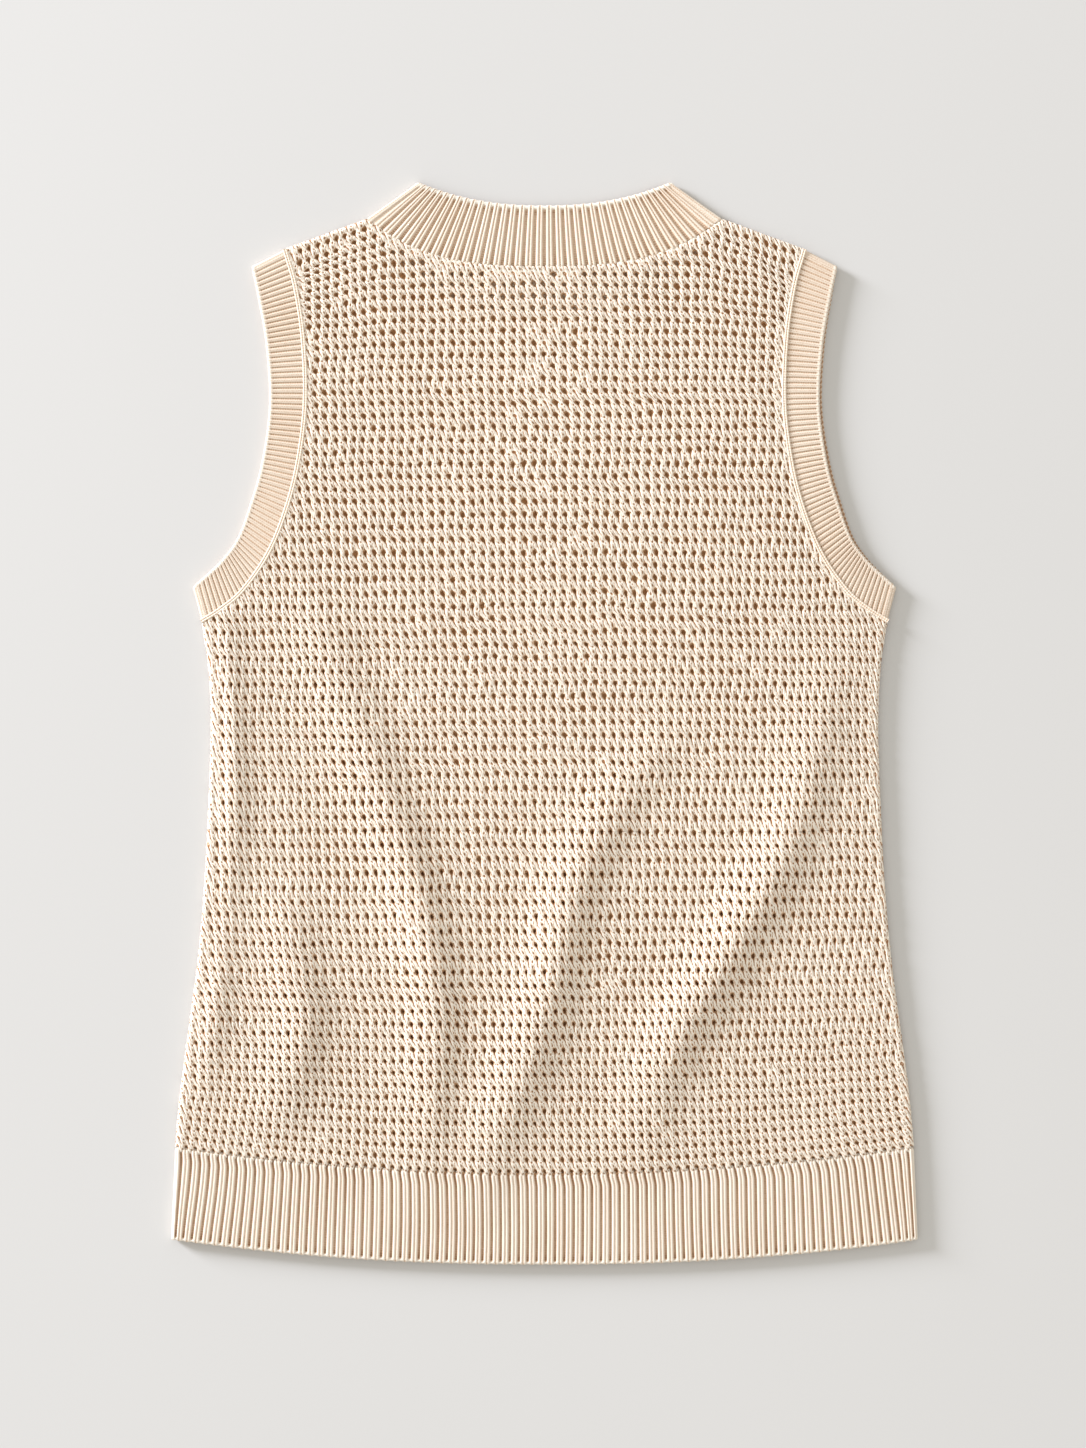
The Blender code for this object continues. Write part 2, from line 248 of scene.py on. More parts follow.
# Depths of the yarn, the ground, and the front's inner side under the outer face.
YARN_SINK = 0.3
GROUND_SINK = 1.35
INSIDE_SINK = 1.6
EDGE_RELIEF = -0.35
TURNED_RELIEF = 0.05
# Points that were moved this far into the outline are at its edge.
CUT_SHIFT = 0.02
PANEL_REACH = 45
YARN_PIECES = 3
# The least area of a face.
LEAST_FACE = 0.02

# Painted shade: dark marks in the holes and in the gaps between the stitches, in repeats.
OPENWORK_MARKS = rows(
    Mark,
    (0, -0.02, 0.17, 0.17, 0.4, 1.2), (0.17, -0.34, 0.08, 0.22, 0.5, 0.85),
    (0.59, -0.24, 0.1, 0.1, 0.3, 1), (0.66, -0.61, 0.09, 0.14, 0.3, 0.9),
    (0.37, -0.12, 0.04, 0.24, 0.4, 0.75), (-0.1, -0.56, 0.04, 0.22, 0.4, 0.75),
    (0.42, -0.74, 0.045, 0.16, 0.5, 0.75), (-0.3, -0.02, 0.04, 0.2, 0.5, 0.7),
    (0.27, -0.6, 0.055, 0.08, 0.3, 0.85), (0.85, -0.4, 0.05, 0.07, 0.3, 0.8),
    (0.52, -0.46, 0.045, 0.06, 0.3, 0.75),
)
# Marks on the ribs, in ribs and stitches: painted shade along the middle of each rib and on its wales,
# and a lighter mark that breaks each furrow's painted shade into dots.
RIB_MARKS = rows(
    Mark,
    (0.5, 0.5, 0.08, 0.26, 0, 0.22), (0, 0.5, 0.12, 0.26, 0, -0.2),
    (0.3, 0, 0.12, 0.12, 0.5, 0.1), (0.7, 0, 0.12, 0.12, -0.5, 0.1),
)


def whole_rib(*half):
    """A rib's table from its first half, which starts in the middle of a furrow."""
    rest = [(round(1 - phase, 2), relief, shade) for phase, relief, shade in half[-2:0:-1]]
    return rows(Furrow, *half, *rest)


# Relief and painted shade of the cloth across one rib, darkest in the furrows.
RIB = whole_rib(
    (0, -0.8, 0.1), (0.08, -0.74, 0.13), (0.15, -0.2, 0.4), (0.22, 0.26, 0.74),
    (0.34, 0.34, 0.78), (0.44, 0.14, 0.56), (0.5, 0, 0.44),
)
NECK_RIB = whole_rib(
    (0, -0.8, 0.27), (0.1, -0.72, 0.24), (0.17, -0.2, 0.42), (0.25, 0.28, 0.64),
    (0.36, 0.34, 0.68), (0.44, 0.1, 0.46), (0.5, -0.06, 0.37),
)
FINE_RIB = whole_rib((0, -0.48, 0.1), (0.12, -0.2, 0.34), (0.3, 0.16, 0.66), (0.5, 0.02, 0.46))
# The hem's rib with fewer points, for the hidden layer.
PLAIN_RIB = whole_rib((0, -0.8, 0.13), (0.24, 0.2, 0.7), (0.5, 0.05, 0.45))
HEM_RIBS = 82
NECK_RIB_PITCH = 6.8
ARMHOLE_RIB_PITCH = 3.5
STITCH = 1.55
ROW_PITCH = 0.8
PLAIN_ROW_PITCH = 3.1
STITCH_RELIEF = 0.07
EDGE_ROUND = CLOTH / 2
INSIDE_DROP = 0.75 * CLOTH
# Share of the depth of the hem, and of the bands, that is plain at the edge.
HEM_EDGE = 0.02
BAND_EDGE = 0.05
PLAIN_EDGE = Wale(0.2, 0.85)
# Reach of a furrow to either side, in ribs, and the shade under which it is dark.
FURROW_REACH = 0.3
FURROW_SHADE = 0.3
# Length over which a furrow fades in, and how much darker its painted shade is at its ends.
EDGE_FADE = 1.3
DEEP_ENDS = 0.16
TIP_PLACE = 2.2
TIP_SPREAD = 1.8
TOP_SPREAD = 0.14
# How deep a rib tucks under the openwork at its seam, and where.
TUCK = 0.9
TUCK_START = 1.2
TUCK_SPAN = 1.6
# How many ribs next to a band's folds are shallower and have lighter painted shade.
CALM_RIBS = 3.5
CALM_DEPTH = 0.35
CALM_SHADE = 0.55
# How far the edge stands back at the furrows.
SCALLOP = 0.22
SCALLOP_REACH = 3
# How ribs wander, and how far below their tops and from the sides that comes in.
STRAY_WAVES = Waves(62, 1, 13)
STRAY_REACH = 9
STRAY_ENDS = 14
# How much more they wander towards the left end.
UNEVEN_END = Step(1.2, 165, 45)
# How the hem's ribs shift, and how their feet spread, evenly and near the ends.
TOP_WAVES = Waves(61, 0.35, 9)
FOOT_SPREAD = 2.5
END_SPREAD = 85
END_CURVE = 8
# The least shade value of the hem's turned ends, so they get little painted shade.
TURNED_SHADE = 0.7
# How far the ribs lie under the outer face.
SUNK = 0.42
# Painted shade on the inner face of a ribbed wall.
INSIDE_SHADE = 0.12
# Rows of a ribbed wall on its inner face and round its edge.
INNER_SHARES = (1.0, 0.66, 0.33)
EDGE_TURN = (180, 135, 90, 45)
TURNED_ROWS = len(INNER_SHARES) + len(EDGE_TURN)
NECK_POINTS = 161
ARMHOLE_POINTS = 181

# Raised chains of the armhole seams, and their distances outwards from the seam.
LINKING = Chain(0.7, 0.55, 1.7, 0.35)
LINKING_SHIFTS = (0.6, 2.05)
LINKING_LEVEL = TOP + 0.2
LINKING_SINK = 0.35
LINKING_SEED = 31
LINKING_JITTER = 0.05
# Their height and painted shade between lumps, and their shade value at the sides, where the painted
# shade is darkest, and how much more it is in the middle.
LUMP_LOW = 0.6
SIDE_SHADE = 0.3
MIDDLE_SHADE = 0.52
# Places across a chain, in half widths, and rings to a stitch.
CHAIN_PLACES = (-1.0, -0.8, -0.4, 0.0, 0.4, 0.8, 1.0)
STITCH_RINGS = 4

# Half the distance over which a slope is taken, on a face and on a line, and its limit.
FACE_STEP = 0.4
LINE_STEP = 0.5
STEEPEST = 2

# Where a mark starts to fade and where it ends, in its half sizes.
MARK_FADE = (0.55, 1.35)
# Plies of a yarn, their twist per millimetre, and their slant over the openwork.
PLIES = 4
TWIST = 1.6
PLY_SLANT = 0.5
# Relief of a mark and of the plies.
MARK_RELIEF = -1.6
PLY_RELIEF = 0.3
FRONT_SHADE = 0.9

CAMERA_DISTANCE = 3
VIEW_HEIGHT = 0.9267
VIEW_CENTRE = (-0.001, -0.0005)
SENSOR = 36


def hermite(knots, values, at):
    """Values on a smooth curve through the points of a table."""
    knots, values = np.asarray(knots, float), np.asarray(values, float)
    slopes = np.gradient(values, knots)
    slopes[1:-1] = (values[2:] - values[:-2]) / (knots[2:] - knots[:-2])
    at = np.clip(at, knots[0], knots[-1])
    low = np.clip(np.searchsorted(knots, at, side="right") - 1, 0, len(knots) - 2)
    span = knots[low + 1] - knots[low]
    t = (at - knots[low]) / span
    return (
        values[low] * (1 + 2 * t) * (1 - t) ** 2
        + slopes[low] * span * t * (1 - t) ** 2
        + values[low + 1] * t * t * (3 - 2 * t)
        + slopes[low + 1] * span * t * t * (t - 1)
    )


def column_of(table, name):
    return [getattr(row, name) for row in table]


def read_table(table, height, name):
    """A column of a table at any heights."""
    ordered = sorted(table)
    return hermite(column_of(ordered, "height"), column_of(ordered, name), height)


def ease(value):
    """Smooth step from 0 to 1."""
    value = np.clip(value, 0.0, 1.0)
    return value * value * (3 - 2 * value)


def bell(distance):
    return np.exp(-0.5 * distance**2)


def unit(vectors):
    return vectors / np.linalg.norm(vectors, axis=-1, keepdims=True)


def lengths_along(points):
    return np.concatenate([[0], np.linalg.norm(np.diff(points, axis=0), axis=-1).cumsum()])


def point_at(points, lengths, distance):
    """Plan points at distances along a line of points."""
    return np.stack([np.interp(distance, lengths, points[:, axis]) for axis in (0, 1)], -1)


def side_half(height):
    return read_table(SIDE_SEAM, height, "half_width")


def panel_half(height):
    """Half width of a panel, to the side seam and above it to the armhole seam."""
    seam = hermite(column_of(ARMHOLE, "seam_height"), column_of(ARMHOLE, "seam_across"), height)
    return np.where(height < UNDERARM, side_half(height), seam)


def fold_rise(across, height):
    """How far the folds lift the back at plan points."""
    rise = np.zeros(np.broadcast(across, height).shape)
    for crests in FOLDS:
        middle = read_table(crests, height, "across")
        lean = read_table(crests, height + 1, "across") - middle
        distance = (across - middle) / np.hypot(1, lean)
        distance = distance * np.where(distance > 0, STEEP_SIDE, GENTLE_SIDE)
        lift = np.maximum(read_table(crests, height, "rise"), 0)
        inside = (height > crests[-1].height) & (height < crests[0].height)
        rise += np.where(inside, lift * bell(distance / read_table(crests, height, "spread")), 0)
    inset = side_half(height) - abs(across)
    return FOLD_LIFT * rise * ease((inset - ROLL) / FOLD_EASE)


def turn_height(inset):
    """Height of the face above the middle of the layers, at an inset from a turned edge."""
    left = np.clip(ROLL - inset, 0, ROLL)
    return np.sqrt(ROLL * ROLL - left * left)


def hem_edge(share):
    return HEM_CORNER_RISE * abs(share) ** HEM_CURVE


def hem_seam_rise(share):
    return (HEM_TOP - HEM_SEAM_CENTRE) * abs(share) ** HEM_SEAM_CURVE


def hem_seam(share):
    return HEM_SEAM_CENTRE + hem_seam_rise(share)


def neck_seam_height(share, neckline):
    rise = NECK_SEAM_CORNER - neckline.seam_centre
    return neckline.seam_centre + rise * abs(share) ** neckline.seam_curve


def shoulder_height(across):
    """Height of the shoulder seam at a distance from the middle."""
    outer = ARMHOLE[-1]
    share = (outer.seam_across - abs(across)) / (outer.seam_across - NECK_SEAM_HALF)
    return outer.seam_height + (NECK_SEAM_CORNER - outer.seam_height) * share


def top_line(across, neckline):
    """Height of a panel's upper border."""
    share = np.clip(across / NECK_SEAM_HALF, -1, 1)
    on_neck = abs(across) < NECK_SEAM_HALF
    return np.where(on_neck, neck_seam_height(share, neckline), shoulder_height(across))


def bottom_line(across):
    return hem_seam(np.clip(across / HEM_TOP_HALF, -1, 1))


def panel_level(across, height):
    """Height of a panel's face above the middle of the layers, turned at its outer edges."""
    side = np.where(height < UNDERARM, side_half(height) - abs(across), ROLL)
    on_shoulder = abs(across) > NECK_SEAM_HALF
    shoulder = np.where(on_shoulder, shoulder_height(across) - height, ROLL)
    return turn_height(np.minimum(side, shoulder))


def back_face(across, height):
    return MID + panel_level(across, height) + fold_rise(across, height)


def front_face(across, height):
    return MID - panel_level(across, height)


def stepped(step, at):
    return step.size * ease((at - step.start) / step.span)


def soft_noise(waves, across, height):
    """Soft random waves, up to about their size, the same at each run."""
    total = 0
    for turn, length, start in np.random.default_rng(waves.seed).uniform(0, 1, (WAVE_COUNT, 3)):
        angle = 2 * math.pi * turn
        reach = across * math.cos(angle) + height * math.sin(angle)
        reach = reach / (waves.scale * (LEAST_LENGTH + length))
        total = total + np.sin(reach + 2 * math.pi * start)
    return waves.size * (total / WAVE_SUM)


def scatter(mixer, column, row):
    """A number from 0 to 1 that seems random, the same at each run."""
    value = np.sin(column * mixer.column + row * mixer.row) * mixer.size
    return value - np.floor(value)


# ---- meshes


def declare_cloth(piece, size, node, rests_on=(), with_pieces=()):
    """Hides the CAD part of a node whose cloth a piece is; the piece and its width, length and area
    are not used.
    """
    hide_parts(node)


def any_corner(marked):
    """Which cells of a grid have a marked point at a corner."""
    return marked[:-1, :-1] | marked[:-1, 1:] | marked[1:, 1:] | marked[1:, :-1]


def grid_faces(points, keep, facing, loop=False):
    """Quads of a grid to keep that have a size, and their points. A loop's ends meet."""
    tall, wide = points.shape[:2]
    index = np.arange(tall * wide).reshape(tall, wide)
    if loop:
        index = np.concatenate([index, index[:1]])
    spots = points.reshape(-1, 3)
    quads = np.stack([index[:-1, :-1], index[:-1, 1:], index[1:, 1:], index[1:, :-1]], -1)
    rising = spots[quads[..., 2]] - spots[quads[..., 0]]
    falling = spots[quads[..., 3]] - spots[quads[..., 1]]
    area = np.linalg.norm(np.cross(rising, falling), axis=-1) / 2
    quads = quads[keep & (area > LEAST_FACE)]
    if facing < 0:
        quads = quads[:, ::-1]
    used, corners = np.unique(quads, return_inverse=True)
    return corners.reshape(-1, 4), used


def yarn_attributes(painted_shade, column, row, along):
    """What a yarn's material reads: painted shade, place in the repeats, and place of the plies."""
    return {"painted_shade": painted_shade, "column": column, "row": row, "along": along, "around": column * PLIES}


def make_grid(name, points, keep, facing, attributes, material, loop=False):
    """A smooth piece of the frame from a grid of points in millimetres and the faces to keep.

    Its UV map is the plan.
    """
    quads, used = grid_faces(points, keep, facing, loop)
    spots = points.reshape(-1, 3)[used]
    placed = spots * MM
    placed[:, 1] += LOW.y
    mesh = bpy.data.meshes.new(name)
    mesh.from_pydata(placed, [], quads, shade_flat=False)
    for label, values in attributes.items():
        picked = np.broadcast_to(values, points.shape[:2]).ravel()[used]
        layer = mesh.attributes.new(label, "FLOAT", "POINT")
        layer.data.foreach_set("value", picked.astype(np.float32))
    plan = spots[:, :2]
    flat = (plan - plan.min(0)) / np.ptp(plan, axis=0).max()
    layer = mesh.uv_layers.new(name="OFBake")
    layer.data.foreach_set("uv", flat[quads.ravel()].astype(np.float32).ravel())
    mesh.materials.append(material)
    piece = bpy.data.objects.new(name, mesh)
    bpy.context.scene.collection.objects.link(piece)
    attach(piece, "root")
    return piece


def surface_points(plan, face, facing, relief):
    """Points over plan points, at a relief outwards from a face."""
    across, height = plan[..., 0], plan[..., 1]
    level = face(across, height)
    rises = [
        face(across + FACE_STEP, height) - face(across - FACE_STEP, height),
        face(across, height + FACE_STEP) - face(across, height - FACE_STEP),
    ]
    slopes = [-np.clip(rise / (2 * FACE_STEP), -STEEPEST, STEEPEST) for rise in rises]
    normal = unit(np.stack([*slopes, np.ones_like(level)], -1))
    outwards = normal * facing * np.asarray(relief)[..., None]
    return np.stack([across, height, level], -1) + outwards


# ---- materials


def set_inputs(node, values):
    for name, value in values.items():
        node.inputs[name].default_value = value


class Nodes:
    """A material's node tree, with short ways to add and join nodes."""

    def __init__(self, name):
        self.material = bpy.data.materials.new(name)
        self.material.use_nodes = True
        self.tree = self.material.node_tree
        self.shader = self.tree.nodes["Principled BSDF"]

    def add(self, kind, **values):
        node = self.tree.nodes.new(kind)
        for key, value in values.items():
            setattr(node, key, value)
        return node

    def join(self, source, target):
        self.tree.links.new(source, target)

    def attribute(self, name):
        return self.add("ShaderNodeAttribute", attribute_name=name).outputs["Fac"]

    def math(self, operation, *values):
        node = self.add("ShaderNodeMath", operation=operation)
        for socket, value in zip(node.inputs, values):
            if isinstance(value, (int, float)):
                socket.default_value = value
            else:
                self.join(value, socket)
        return node.outputs[0]

    def centred(self, value, size):
        """A value from 0 to 1 made one from minus to plus half a size."""
        return self.math("MULTIPLY_ADD", value, size, -size / 2)

    def noise(self, scale, detail=2):
        node = self.add("ShaderNodeTexNoise")
        set_inputs(node, {"Scale": scale, "Detail": detail})
        self.join(self.add("ShaderNodeTexCoord").outputs["Object"], node.inputs["Vector"])
        return node.outputs["Fac"]

    def ramp(self, factor, places, colours):
        node = self.add("ShaderNodeValToRGB")
        elements = node.color_ramp.elements
        while len(elements) < len(places):
            elements.new(0.5)
        for element, place, colour in zip(elements, places, colours):
            element.position = place
            element.color = (*colour, 1)
        self.join(factor, node.inputs["Fac"])
        return node.outputs["Color"]

    def bump(self, height, strength, distance):
        """Adds fine relief to the shader."""
        node = self.add("ShaderNodeBump")
        set_inputs(node, {"Strength": strength, "Distance": distance})
        self.join(height, node.inputs["Height"])
        self.join(node.outputs["Normal"], self.shader.inputs["Normal"])

    def finish(self, colour, roughness, specular):
        """Sets the shader's colour and gloss."""
        self.join(colour, self.shader.inputs["Base Color"])
        set_inputs(self.shader, {"Roughness": roughness, "Specular IOR Level": specular})


def mark_mask(nodes, column, row, mark):
    """A mark's strength inside it, in every repeat, and 0 outside it."""
    aside = nodes.math("WRAP", nodes.math("SUBTRACT", column, mark.across), 0.5, -0.5)
    above = nodes.math("WRAP", nodes.math("SUBTRACT", row, mark.up), 0.5, -0.5)
    aside = nodes.math("MULTIPLY_ADD", above, mark.lean, aside)
    place = nodes.add("ShaderNodeCombineXYZ")
    nodes.join(nodes.math("DIVIDE", aside, mark.half_width), place.inputs["X"])
    nodes.join(nodes.math("DIVIDE", above, mark.half_height), place.inputs["Y"])
    reach = nodes.add("ShaderNodeVectorMath", operation="LENGTH")
    nodes.join(place.outputs[0], reach.inputs[0])
    fade = nodes.add("ShaderNodeMapRange", interpolation_type="SMOOTHSTEP")
    nodes.join(reach.outputs["Value"], fade.inputs["Value"])
    start, end = MARK_FADE
    set_inputs(fade, {"From Min": start, "From Max": end, "To Min": mark.strength, "To Max": 0.0})
    return fade.outputs["Result"]


def knit_material(name, colours, marks=(), wander=0.0):
    """Yarn of twisted plies, coloured by painted shade, with painted shade marks in every repeat that
    noise shifts as far as they wander.
    """
    nodes = Nodes(name)
    fibres = nodes.noise(scale=1500, detail=3)
    # Painted shade: the shade value darkens the yarn in its hollows, furrows and rims; the noise adds
    # tone at random.
    shade = nodes.math("ADD", nodes.attribute("painted_shade"), nodes.centred(fibres, size=0.5))
    shade = nodes.math("ADD", shade, nodes.centred(nodes.noise(scale=22), size=0.2))
    column, row = nodes.attribute("column"), nodes.attribute("row")
    relief = fibres
    # Marks of painted shade are taken off the shade value; one of negative strength makes it lighter.
    if marks:
        drift, stray = (nodes.centred(nodes.noise(scale), wander) for scale in (170, 210))
        places = nodes.math("ADD", column, drift), nodes.math("ADD", row, stray)
        total = 0.0
        for mark in marks:
            total = nodes.math("ADD", mark_mask(nodes, *places, mark), total)
        shade = nodes.math("SUBTRACT", shade, total)
        relief = nodes.math("MULTIPLY_ADD", total, MARK_RELIEF, relief)
    nodes.finish(nodes.ramp(shade, (0.0, 0.32, 0.72), colours), roughness=0.75, specular=0.25)
    plies = nodes.math("MULTIPLY_ADD", nodes.attribute("along"), TWIST, nodes.attribute("around"))
    twist = nodes.math("SINE", nodes.math("MULTIPLY", plies, 2 * math.pi))
    relief = nodes.math("MULTIPLY_ADD", twist, PLY_RELIEF, relief)
    nodes.bump(relief, strength=0.6, distance=0.0003)
    sheen = {"Sheen Weight": 0.25, "Sheen Roughness": 0.4, "Sheen Tint": (1.0, 0.95, 0.88, 1)}
    set_inputs(nodes.shader, sheen)
    return nodes.material


def painted_shade_material(name, colours):
    """Painted shade: brown for the shaded inside of the knit, which shows through the holes, mottled
    at random.
    """
    nodes = Nodes(name)
    grain = nodes.noise(scale=420, detail=3)
    mottle = nodes.math("ADD", grain, nodes.math("MULTIPLY", nodes.noise(scale=30), 0.4))
    shade = nodes.math("MULTIPLY_ADD", mottle, 0.9, -0.2)
    nodes.finish(nodes.ramp(shade, (0.2, 0.75), colours), roughness=0.9, specular=0.1)
    nodes.bump(nodes.noise(scale=1500, detail=3), strength=0.4, distance=0.0002)
    return nodes.material


# Colour ramps of the yarn by its shade value: the dark and middle stops are painted shade, the light
# stop is the yarn's own cream.
CREAM_WITH_PAINTED_SHADE = ((0.33, 0.155, 0.068), (0.86, 0.635, 0.447), (0.925, 0.85, 0.74))
RIB_CREAM_WITH_PAINTED_SHADE = ((0.30, 0.15, 0.072), (0.665, 0.483, 0.34), (0.845, 0.767, 0.662))
OPENWORK_YARN = knit_material("openwork_yarn", CREAM_WITH_PAINTED_SHADE, OPENWORK_MARKS, 0.34)
RIB_YARN = knit_material("rib_yarn", RIB_CREAM_WITH_PAINTED_SHADE, RIB_MARKS, 0.12)
SEAM_YARN = knit_material("seam_yarn", CREAM_WITH_PAINTED_SHADE)
# Materials of painted shade: brown for the ground between the strands and for the front's inner side
# seen through the holes.
GROUND_PAINTED_SHADE = painted_shade_material("knit_ground_painted_shade", ((0.43, 0.225, 0.11), (0.63, 0.385, 0.22)))
INSIDE_PAINTED_SHADE = painted_shade_material("knit_inside_painted_shade", ((0.56, 0.25, 0.10), (0.77, 0.41, 0.19)))
MESH_SLOT, RIB_SLOT, FINE_RIB_SLOT = "mesh_knit", "wide_rib", "fine_rib"


# ---- openwork


def row_scale():
    """Heights up the middle, and their rows of holes, from 0 at the lowest."""
    heights = np.arange(HEM_SEAM_CENTRE - ROW_MARGIN, BODY_LENGTH + ROW_MARGIN, ROW_STEP)
    pitch = read_table(OPENWORK, heights, "row")
    numbers = np.concatenate([[0], np.cumsum(ROW_STEP / pitch[:-1])])
    numbers -= np.interp(HEM_SEAM_CENTRE + FIRST_HOLES, heights, numbers)
    return heights, numbers


ROW_HEIGHTS, ROW_NUMBERS = row_scale()
LAST_ROW = math.ceil(ROW_NUMBERS[-1])


def lattice_point(column, row):
    """Plan points of the openwork at columns and rows, which may be fractions."""
    middle = np.interp(row, ROW_NUMBERS, ROW_HEIGHTS)
    across = column * read_table(OPENWORK, middle, "column")
    crowding = read_table(OPENWORK, middle, "crowding")
    across = across * (1 - crowding / 3 * (across / HEM_HALF) ** 2)
    loose = ease((middle - HEM_SEAM_CENTRE) / STRAY_RISE)
    sway = soft_noise(COLUMN_SWAY, across, middle) + soft_noise(ROW_SWAY, 0, middle)
    across = across + loose * (sway + soft_noise(STITCH_SWAY, across, middle))
    share = np.clip(across / HEM_TOP_HALF, -BEND_REACH, BEND_REACH)
    above = np.clip(middle - HEM_SEAM_CENTRE, 0, None)
    height = middle + hem_seam_rise(share) * np.exp(-above / BEND_RISE)
    below = np.clip(shoulder_height(across) - height, 0, None)
    outside = np.clip(abs(across) - SHOULDER_BEND.start, 0, None)
    height = height - SHOULDER_BEND.size * outside * np.exp(-below / SHOULDER_BEND.span)
    lift = soft_noise(ROW_LIFT, across, middle) + soft_noise(STITCH_LIFT, across, middle)
    return across, height + loose * lift


def inside_panel(across, height, neckline, side=0, top=0, bottom=0):
    """Which plan points lie inside a panel by more than its margins."""
    return (
        (panel_half(height) - abs(across) > side)
        & (top_line(across, neckline) - height > top)
        & (height - bottom_line(across) > bottom)
    )


def open_repeats(column, row):
    """Which repeats of the back's openwork have a hole, and which lie in its plain edges."""
    across, height = lattice_point(column, row)
    closed = CLOSED_SHARE + stepped(CLOSED_PATCHES, soft_noise(PATCH_WAVES, across, height))
    kept = scatter(CLOSING, column, row) > closed
    side = np.where(height < UNDERARM, PLAIN_SIDE, PLAIN_SEAM)
    top = np.where(abs(across) < NECK_SEAM_HALF, PLAIN_NECK, PLAIN_SEAM)
    inside = inside_panel(across, height, BACK_NECK, side, top, FIRST_HOLES / 2)
    return inside & (kept | (height - bottom_line(across) < FIRST_ROW)), ~inside


def openness(column, row):
    """How wide the holes stand open, about 1."""
    across, height = lattice_point(column, row)
    size = abs(across)
    even = BASE_OPENNESS + stepped(OPEN_UPWARDS, height) - stepped(SHUT_AT_SIDES, size)
    shoulder = stepped(OPEN_AT_SHOULDERS, height) * stepped(SHOULDERS_START, size)
    own = OPEN_SPREAD * (scatter(OPENING, column, row) - 0.5)
    return even + shoulder + (soft_noise(OPEN_WAVES, across, height) + own)


def clamp_to_panel(across, height, neckline, hem_tongue=0, neck_tongue=0):
    """Plan points brought inside a panel, which laps over its seams, and further by its tongues."""
    low = bottom_line(across) - LAP - hem_tongue
    height = np.clip(height, low, top_line(across, neckline) + LAP + neck_tongue)
    half = panel_half(height) + LAP * ease((height - UNDERARM) / LAP_RISE)
    across = np.clip(across, -half, half)
    low = bottom_line(across) - LAP - hem_tongue
    under_neck = ease((NECK_SEAM_HALF - abs(across)) / NECK_CORNER)
    high = top_line(across, neckline) + under_neck * (LAP + neck_tongue)
    return np.stack([across, np.clip(height, low, high)], -1)


def nearest_repeat(place):
    """The repeat whose middle is nearest to a place in steps, and the steps from there."""
    number = np.floor_divide(place + STEPS // 2, STEPS)
    return number, place - number * STEPS


def move_to_rims(rims, pierced, repeat, steps, spread, place):
    """Places in repeats, both across and up, with those round each hole moved to its rim."""
    across, up = place
    for rim in rims:
        here = pierced & (steps[0] == rim.column) & (steps[1] == rim.row)
        across = np.where(here, repeat[0] + rim.across * spread, across)
        up = np.where(here, repeat[1] + rim.up * spread, up)
    return across, up


def tongues(column):
    """How much further the yarn reaches over the hem and over the neck band."""
    wave = np.sin(math.pi * column) ** 2
    return HEM_TONGUE * wave - HEM_NOTCH, NECK_TONGUE * wave


def relief_at_borders(plan, cut, relief):
    """The relief of the back's yarn, lowered over the ribs and at its edges."""
    across, height = plan[..., 0], plan[..., 1]
    over = np.maximum(bottom_line(across) - height, height - top_line(across, BACK_NECK))
    relief = relief - OVERLAP_SINK * ease(over / OVERLAP_REACH)
    at_turn = panel_level(across, height) < ROLL / 2
    return np.where(cut, np.where(at_turn, TURNED_RELIEF, EDGE_RELIEF), relief)


def openwork_yarn(name, low_row, high_row):
    """The yarn of some rows of the back: leaning wales that part round the holes."""
    draw = np.random.default_rng(YARN_SEED)
    low, high, reach = low_row * STEPS, high_row * STEPS, (PANEL_REACH + 1) * STEPS
    lines = np.arange(math.floor(low * LEAN - reach), math.ceil(high * LEAN + reach) + 1)
    line, level = np.meshgrid(lines, np.arange(low, high + 1))
    row, step_up = nearest_repeat(level)
    column, step_across = nearest_repeat(line - (row * STEPS * LEAN).astype(int))
    pierced, plain = open_repeats(column, row)
    on_rim = pierced & (abs(step_across) <= 1) & (abs(step_up) <= 1)
    middle = (step_across == 0) & (step_up == 0)
    place = line / STEPS - LEAN * (level / STEPS), level / STEPS
    steps = step_across, step_up
    right, up = move_to_rims(RIM, pierced, (column, row), steps, openness(column, row), place)
    # Painted shade: the yarn darker where it lies low between the wales and round the holes' rims.
    relief, shade = (np.array(values)[abs(step_across)] for values in zip(*WALES))
    relief = relief - ROW_DIP * (step_up == 2) + ROW_RISE * (abs(step_up) == 3)
    relief = np.where(on_rim, RIM_WALE.relief, relief)
    shade = np.where(on_rim, RIM_WALE.shade, shade + PLAIN_SHADE * (plain & middle))
    jitter = np.where(on_rim, RIM_JITTER, RIM_JITTER / 2)
    right = right + jitter * draw.normal(0, 1, right.shape)
    up = up + jitter * draw.normal(0, 1, up.shape)
    relief = relief + draw.normal(0, RELIEF_JITTER, relief.shape)
    across, height = lattice_point(right, up)
    plan = clamp_to_panel(across, height, BACK_NECK, *tongues(right))
    cut = np.hypot(across - plan[..., 0], height - plan[..., 1]) > CUT_SHIFT
    relief = relief_at_borders(plan, cut, relief)
    points = surface_points(plan, back_face, 1, relief - YARN_SINK)
    keep = ~any_corner(pierced & middle) & any_corner(~cut)
    attributes = yarn_attributes(shade, right, up, height + PLY_SLANT * across)
    return make_grid(name, points, keep, 1, attributes, OPENWORK_YARN)


def panel_steps(steps):
    """Columns and rows of a grid over a whole panel."""
    columns = np.arange(-PANEL_REACH * steps, PANEL_REACH * steps + 1)
    return np.meshgrid(columns, np.arange(-2 * steps, (LAST_ROW + 2) * steps))


